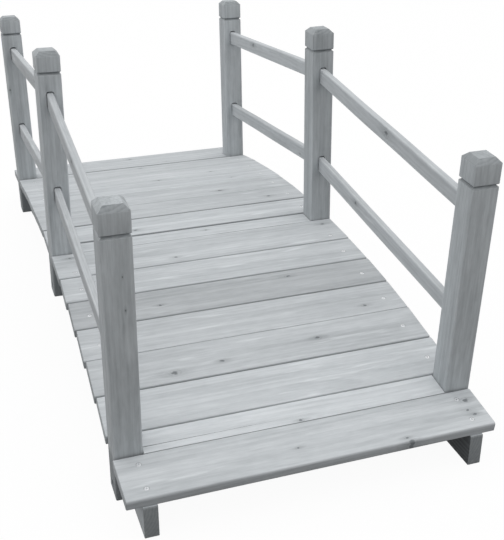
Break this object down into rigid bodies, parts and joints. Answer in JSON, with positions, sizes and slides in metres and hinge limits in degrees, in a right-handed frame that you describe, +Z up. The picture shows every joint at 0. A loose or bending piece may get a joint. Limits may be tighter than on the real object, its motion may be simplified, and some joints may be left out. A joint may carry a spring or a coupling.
{
  "type": "garden bridge",
  "caption": "Arched timber garden bridge: boarded deck on curved stringers, with square capped posts and rounded rails along both sides.",
  "frame": {"origin": "on the ground below the crown of the deck, midway between the two sides", "axes": "+X across the bridge to the right, +Y along it from the near end to the far end, +Z up"},
  "size_m": [0.6032, 1.42, 0.5567],
  "materials": {
    "deck_wood": "weathered grey softwood, planed",
    "post_wood": "weathered grey softwood, planed",
    "rail_wood": "weathered grey softwood, planed and rounded",
    "stringer_wood": "weathered grey softwood, sawn"
  },
  "bodies": {
    "root": {"near_end_board": "deck_wood", "near_cross_tie": "deck_wood", "near_bay_board_1": "deck_wood", "near_bay_board_2": "deck_wood", "near_bay_board_3": "deck_wood", "near_bay_board_4": "deck_wood", "near_bay_board_5": "deck_wood", "near_bay_board_6": "deck_wood", "middle_cross_tie": "deck_wood", "far_bay_board_1": "deck_wood", "far_bay_board_2": "deck_wood", "far_bay_board_3": "deck_wood", "far_bay_board_4": "deck_wood", "far_bay_board_5": "deck_wood", "far_bay_board_6": "deck_wood", "far_cross_tie": "deck_wood", "far_end_board": "deck_wood", "left_stringer": "stringer_wood", "near_left_post": "post_wood", "middle_left_post": "post_wood", "far_left_post": "post_wood", "near_left_upper_rail": "rail_wood", "near_left_lower_rail": "rail_wood", "far_left_upper_rail": "rail_wood", "far_left_lower_rail": "rail_wood", "right_stringer": "stringer_wood", "near_right_post": "post_wood", "middle_right_post": "post_wood", "far_right_post": "post_wood", "near_right_upper_rail": "rail_wood", "near_right_lower_rail": "rail_wood", "far_right_upper_rail": "rail_wood", "far_right_lower_rail": "rail_wood"}
  },
  "joints": []
}
